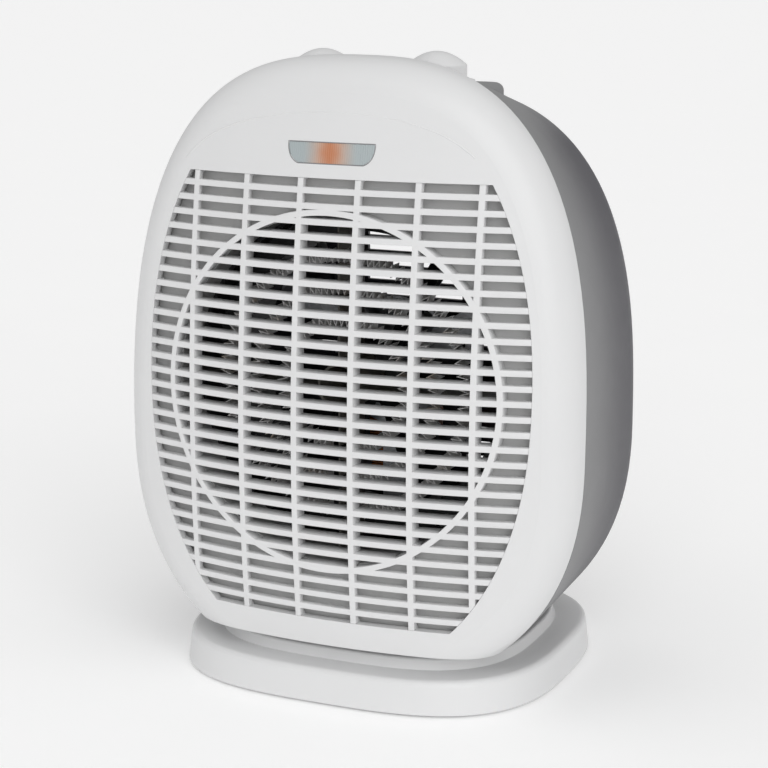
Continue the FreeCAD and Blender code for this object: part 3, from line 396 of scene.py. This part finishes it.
def amber_glass():
    finish = Finish("amber_glass", Emission_Strength=1.6, Coat_Weight=0.8)
    core = finish.noise(240.0, 2.0)
    finish.feed("Base Color", finish.mix(core, (0.75, 0.24, 0.05), (0.9, 0.42, 0.12)))
    finish.feed("Emission Color", finish.mix(core, (1.0, 0.26, 0.04), (1.0, 0.42, 0.10)))
    finish.feed("Roughness", 0.12 + core * 0.08)
    return finish


# ------------------------------------------------------------------ modelling helpers

def pick_none():
    """Nothing selected, in object mode."""
    if bpy.context.object and bpy.context.object.mode != "OBJECT":
        bpy.ops.object.mode_set(mode="OBJECT")
    bpy.ops.object.select_all(action="DESELECT")


def pick(piece):
    pick_none()
    piece.select_set(True)
    bpy.context.view_layer.objects.active = piece


def named(name):
    """The piece just added, under its own name."""
    piece = bpy.context.object
    piece.name = name
    piece.data.name = name
    return piece


def modifier(piece, kind, **settings):
    pick(piece)
    added = piece.modifiers.new(kind.lower(), kind)
    for key, value in settings.items():
        setattr(added, key, value)
    bpy.ops.object.modifier_apply(modifier=added.name)


def joined(pieces, name):
    pick_none()
    for piece in pieces:
        piece.select_set(True)
    bpy.context.view_layer.objects.active = pieces[0]
    bpy.ops.object.join()
    return named(name)


def settle(piece):
    """Its place goes into its mesh, and its faces point outwards."""
    pick(piece)
    bpy.ops.object.transform_apply(location=True, rotation=True, scale=True)
    bpy.ops.object.mode_set(mode="EDIT")
    bpy.ops.mesh.select_all(action="SELECT")
    bpy.ops.mesh.remove_doubles(threshold=0.000002)
    bpy.ops.mesh.normals_make_consistent(inside=False)
    bpy.ops.object.mode_set(mode="OBJECT")


def smooth(piece, degrees=30.0):
    pick(piece)
    bpy.ops.object.shade_smooth_by_angle(angle=math.radians(degrees))


def skinned_copy(node, name):
    """A welded copy of a CAD node that can be worked on and shaded smooth."""
    pick(NODES[node])
    bpy.ops.object.duplicate()
    piece = named(name)
    del piece["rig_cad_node"]
    bpy.ops.object.mode_set(mode="EDIT")
    bpy.ops.mesh.select_all(action="SELECT")
    bpy.ops.mesh.remove_doubles(threshold=0.000004)
    bpy.ops.object.mode_set(mode="OBJECT")
    bpy.ops.mesh.customdata_custom_splitnormals_clear()
    return piece


def fit_out(piece, body, slot, *nodes, finish=None):
    """The piece gets its finish, its body and the nodes it stands for."""
    piece.data.materials.clear()
    piece.data.materials.append((finish or FINISHES[slot]).data)
    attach(piece, body)
    if nodes:
        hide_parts(*nodes)
    return piece


# ------------------------------------------------------------------ the CAD nodes' finishes

# The imported plain materials go first, so that the finishes can take their names.
for plain in list(bpy.data.materials):
    bpy.data.materials.remove(plain)

LENS_LOW, LENS_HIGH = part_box("indicator_lens")
FINISHES = {made.data.name: made for made in (
    white_plastic(), grey_plastic(), duct_grey(), black_plastic(), rubber(), steel(), spring_steel(),
    natural_plastic(), clear_lens(), amber_glass(), mica(), heater_alloy(), ceramic_white(),
    lamination(), copper_wire(), cast_aluminium(), bronze(), zinc_plate())}


def finish_nodes():
    for part in frame["record"]["subparts"]:
        node = NODES[part["node"]]
        node.data.materials.clear()
        node.data.materials.append(FINISHES[part["material_slot"]].data)


# ------------------------------------------------------------------ shells and grille

BODY_OF = {node: body for body, nodes in frame["record"]["behaviour"]["bodies"].items()
           for node in nodes}
SLOT_OF = {part["node"]: part["material_slot"] for part in frame["record"]["subparts"]}


def stand_in(node, piece):
    return fit_out(piece, BODY_OF[node], SLOT_OF[node], node)


def softened(node, width, degrees=32.0):
    """The CAD shape with its sharp edges broken by a small round, as a mould leaves them."""
    piece = skinned_copy(node, node + "_moulded")
    if width:
        modifier(piece, "BEVEL", width=width, segments=2, limit_method="ANGLE",
                 angle_limit=math.radians(degrees), use_clamp_overlap=True, harden_normals=False)
    smooth(piece, degrees)
    return stand_in(node, piece)


def on_face(piece, x, z):
    """The point of the fascia straight behind (x, z)."""
    _hit, place, _normal, _face = piece.ray_cast(Vector((x, -1.0, z)), Vector((0.0, 1.0, 0.0)))
    return place


# The arched line over the lens: x, z and the line's radius, in mm.
ARCH_LINE = ((-81, 259, 0.10), (-76, 264.5, 0.40), (-68, 270, 0.42), (-57, 275.3, 0.42),
             (-42, 279.6, 0.42), (-22, 282.9, 0.42), (-2, 284.0, 0.42), (20, 283.2, 0.42),
             (40, 279.8, 0.42), (55, 274.6, 0.45), (65, 268.6, 0.85), (69, 265.3, 0.30))
BEAD_HEIGHT = 0.26
# The lens's outline: its foot and the bow of its sides as shares of its width, and the radius of the
# dark line painted round it as the shadow in its gap.
LENS_FOOT_SHARE = 0.749
LENS_BOW_SHARE = 0.27
GAP_SHADOW_RADIUS = 0.28 * MM


def wire(name, kind, spots, **shape):
    """A round wire through the spots, each a place and a thickness, as a closed mesh."""
    pick_none()
    line = bpy.data.curves.new(name, "CURVE")
    line.dimensions = "3D"
    for key, value in shape.items():
        setattr(line, key, value)
    spline = line.splines.new(kind)
    spline.points.add(len(spots) - 1)
    for point, (place, thickness) in zip(spline.points, spots):
        point.co = (*place, 1.0)
        point.radius = thickness
    if kind == "NURBS":
        spline.order_u = 3
        spline.use_endpoint_u = True
    spline.use_cyclic_u = kind == "POLY"
    piece = bpy.data.objects.new(name, line)
    bpy.context.scene.collection.objects.link(piece)
    pick(piece)
    bpy.ops.object.convert(target="MESH")
    settle(piece)
    smooth(piece, 60.0)
    return piece


def sunk_in_face(x, z, sunk):
    """A place just behind the fascia's surface."""
    return on_face(NODES["front_shell"], x, z) + Vector((0, sunk, 0))


def arch_bead():
    """A thin raised line along the arch, standing a little off the face."""
    spots = [(sunk_in_face(x * MM, z * MM, (width - BEAD_HEIGHT) * MM), width)
             for x, z, width in ARCH_LINE]
    bead = wire("arch_line", "NURBS", spots, bevel_depth=MM, bevel_resolution=3,
                use_fill_caps=True, resolution_u=10)
    return fit_out(bead, "head", "white_plastic")


def lens_gap_shadow():
    """A painted shadow: a dark line where the lens meets the fascia, standing in for the shade in
    the gap, just off the face.
    """
    wide, foot_half = LENS_HIGH.x + GAP_SHADOW_RADIUS, LENS_FOOT_SHARE * LENS_HIGH.x + GAP_SHADOW_RADIUS
    top, foot = LENS_HIGH.z + GAP_SHADOW_RADIUS, LENS_LOW.z - GAP_SHADOW_RADIUS
    bow = LENS_BOW_SHARE * (wide - foot_half)
    start, end = Vector((wide, top)), Vector((foot_half, foot))
    middle = (start + end) / 2 + Vector((bow, -bow))
    pull = middle * 2 - (start + end) / 2
    side = [start * (1 - t) ** 2 + pull * 2 * t * (1 - t) + end * t ** 2
            for t in (step / 12 for step in range(13))]
    outline = side + [Vector((-spot.x, spot.y)) for spot in reversed(side)]
    spots = [(sunk_in_face(x, z, 0.16 * MM), 1.0) for x, z in along(outline, 1.0 * MM)]
    # A dark grey tube, painted in as the shadow in the gap round the lens.
    gap_shadow_line = wire("lens_gap_shadow", "POLY", spots, bevel_depth=GAP_SHADOW_RADIUS, bevel_resolution=2)
    return fit_out(gap_shadow_line, "head", "grey_plastic")


def along(corners, spacing):
    """Points every so far along a closed outline of straight sides."""
    points = []
    for near, far in zip(corners, corners[1:] + corners[:1]):
        steps = max(1, round((far - near).length / spacing))
        points += [near.lerp(far, step / steps) for step in range(steps)]
    return points


def grille():
    """The slats and bars with the small rounds their mould leaves on every edge."""
    piece = skinned_copy("front_grille", "grille_moulded")
    modifier(piece, "BEVEL", width=0.3 * MM, segments=2, limit_method="ANGLE",
             angle_limit=math.radians(40), use_clamp_overlap=True)
    smooth(piece, 40.0)
    return stand_in("front_grille", piece)


# ------------------------------------------------------------------ knobs and dials

def ring_of_faces(piece, low, high):
    """Selects the faces whose middle lies between two heights."""
    bpy.ops.object.mode_set(mode="EDIT")
    bpy.ops.mesh.select_all(action="DESELECT")
    bpy.ops.object.mode_set(mode="OBJECT")
    for face in piece.data.polygons:
        face.select = low < face.center.z < high
    bpy.ops.object.mode_set(mode="EDIT")


# A knob's straight side as a share of its height, and the steps that its crown is drawn up in.
KNOB_SIDE_SHARE = 0.51
CROWN_STEPS = 12
CROWN_TAPER = 12.3


def knob(node, name):
    """A domed knob: a turned side with a fine lip, a crown, and a raised pointer on the crown."""
    low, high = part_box(node)
    middle = (low + high) / 2
    reach = (high.x - low.x) / 2
    side = KNOB_SIDE_SHARE * (high.z - low.z)
    crown = high.z - low.z - side
    pick_none()
    bpy.ops.mesh.primitive_cylinder_add(vertices=96, radius=reach, depth=side, end_fill_type="NGON",
                                        location=(middle.x, middle.y, low.z + side / 2))
    piece = named(name)
    bpy.ops.object.transform_apply(location=True)
    before, rise = reach, 0.0
    for step in range(1, CROWN_STEPS + 1):
        width = reach * (1 - step / CROWN_TAPER)
        lift = crown * (1 - (width / reach) ** 2)
        ring_of_faces(piece, low.z + side + rise - 0.02 * MM, high.z + MM)
        bpy.ops.mesh.extrude_region_move(TRANSFORM_OT_translate={"value": (0, 0, lift - rise)})
        bpy.ops.transform.resize(value=(width / before, width / before, 1.0),
                                 center_override=(middle.x, middle.y, 0.0))
        bpy.ops.object.mode_set(mode="OBJECT")
        before, rise = width, lift
    settle(piece)
    modifier(piece, "BEVEL", width=0.5 * MM, segments=4, limit_method="ANGLE",
             angle_limit=math.radians(30))

    pick_none()
    bpy.ops.mesh.primitive_cube_add(size=1.0, location=(middle.x, middle.y - reach * 0.50, high.z))
    pointer = bpy.context.object
    pointer.scale = (1.5 * MM, reach * 0.62, 1.0 * MM)
    bpy.ops.object.transform_apply(location=True, rotation=True, scale=True)
    bpy.ops.object.mode_set(mode="EDIT")
    bpy.ops.mesh.select_all(action="SELECT")
    bpy.ops.mesh.subdivide(number_cuts=7)
    bpy.ops.object.mode_set(mode="OBJECT")
    for corner in pointer.data.vertices:
        out = math.hypot(corner.co.x - middle.x, corner.co.y - middle.y) / reach
        corner.co.z += -crown * out ** 2 - 0.35 * MM
    modifier(pointer, "BEVEL", width=0.3 * MM, segments=3, limit_method="ANGLE",
             angle_limit=math.radians(50))
    piece = joined([piece, pointer], name)
    smooth(piece, 35.0)
    return stand_in(node, piece)


def dial_marks(node, sweep, steps):
    """Fine raised ticks on the panel round a knob, longer at the ends of its travel."""
    low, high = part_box(node)
    middle = (low + high) / 2
    reach = (high.x - low.x) / 2
    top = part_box("control_panel")[1].z
    ticks = []
    for step in range(steps + 1):
        turn = math.radians(-90 + sweep * step / steps)
        long = 1.6 if step in (0, steps) else 1.0
        middle_out = reach + 1.0 * MM + long * MM / 2
        pick_none()
        bpy.ops.mesh.primitive_cube_add(size=1.0, rotation=(0, 0, turn), location=(
            middle.x + middle_out * math.cos(turn), middle.y + middle_out * math.sin(turn), top))
        tick = bpy.context.object
        tick.scale = (long * MM, 0.5 * MM, 0.3 * MM)
        bpy.ops.object.transform_apply(location=True, rotation=True, scale=True)
        modifier(tick, "BEVEL", width=0.08 * MM, segments=2)
        ticks.append(tick)
    marks = joined(ticks, node.replace("knob", "ticks"))
    smooth(marks, 35.0)
    return fit_out(marks, "head", "grey_plastic")


# ------------------------------------------------------------------ studio

def sun(name, strength, heading, elevation, softness):
    """A broad soft light from a heading (degrees to the heater's right of its front)."""
    pick_none()
    turn, rise = math.radians(heading), math.radians(elevation)
    towards = Vector((math.sin(turn) * math.cos(rise), -math.cos(turn) * math.cos(rise),
                      math.sin(rise)))
    bpy.ops.object.light_add(type="SUN", location=towards * 3.0)
    lamp = bpy.context.object
    lamp.name = name
    lamp.data.energy = strength
    lamp.data.angle = math.radians(softness)
    lamp.rotation_euler = (-towards).to_track_quat("-Z", "Y").to_euler()


def studio():
    pick_none()
    bpy.ops.mesh.primitive_plane_add(size=90.0, location=(0, 0, -0.0003))
    ground = named("studio_floor")
    paper = Finish("studio_paper", Roughness=0.95, Emission_Strength=0.16)
    fibre = paper.noise(9.0, 3.0)
    paper.feed("Base Color", paper.mix(fibre, (0.93, 0.93, 0.93), (0.95, 0.95, 0.95)))
    paper.shader.inputs["Emission Color"].default_value = (1, 1, 1, 1)
    ground.data.materials.append(paper.data)

    world = bpy.data.worlds.new("studio_world")
    bpy.context.scene.world = world
    world.use_nodes = True
    tree = world.node_tree
    tree.nodes.clear()
    sky = tree.nodes.new("ShaderNodeBackground")
    wall = tree.nodes.new("ShaderNodeBackground")
    seen = tree.nodes.new("ShaderNodeLightPath")
    blend = tree.nodes.new("ShaderNodeMixShader")
    out = tree.nodes.new("ShaderNodeOutputWorld")
    sky.inputs["Color"].default_value = (1, 1, 1, 1)
    sky.inputs["Strength"].default_value = 0.47
    wall.inputs["Color"].default_value = (1, 1, 1, 1)
    wall.inputs["Strength"].default_value = 1.0
    tree.links.new(seen.outputs["Is Camera Ray"], blend.inputs[0])
    tree.links.new(sky.outputs[0], blend.inputs[1])
    tree.links.new(wall.outputs[0], blend.inputs[2])
    tree.links.new(blend.outputs[0], out.inputs["Surface"])

    sun("key_light", 1.30, 34.0, 26.0, 60.0)
    sun("top_light", 0.45, 0.0, 80.0, 80.0)


# Where the camera stands, in metres, and how far it is turned and tipped, in degrees.
CAMERA_PLACE = (0.3958, -0.9069, 0.3657)
CAMERA_YAW = 23.78
CAMERA_PITCH = 12.79


def camera():
    """A long lens, to the heater's right and a little above it."""
    yaw, pitch = math.radians(CAMERA_YAW), math.radians(CAMERA_PITCH)
    bpy.ops.object.camera_add(location=CAMERA_PLACE,
                              rotation=(math.radians(90) - pitch, 0.0, yaw))
    shot = bpy.context.object
    shot.name = "product_camera"
    shot.data.lens = 93.56
    shot.data.sensor_width = 36.0
    shot.data.clip_start = 0.01
    bpy.context.scene.camera = shot
    bpy.context.scene.view_settings.view_transform = "Standard"
    bpy.context.scene.view_settings.look = "None"


# ------------------------------------------------------------------ the whole heater

finish_nodes()
arch_bead()
grille()
softened("indicator_lens", 0.25 * MM, 40.0)
lens_gap_shadow()
softened("control_panel", 0.6 * MM, 40.0)
knob("thermostat_knob", "thermostat_knob_moulded")
knob("selector_knob", "selector_knob_moulded")
dial_marks("thermostat_knob", 270, 9)
dial_marks("selector_knob", 135, 3)
studio()
camera()
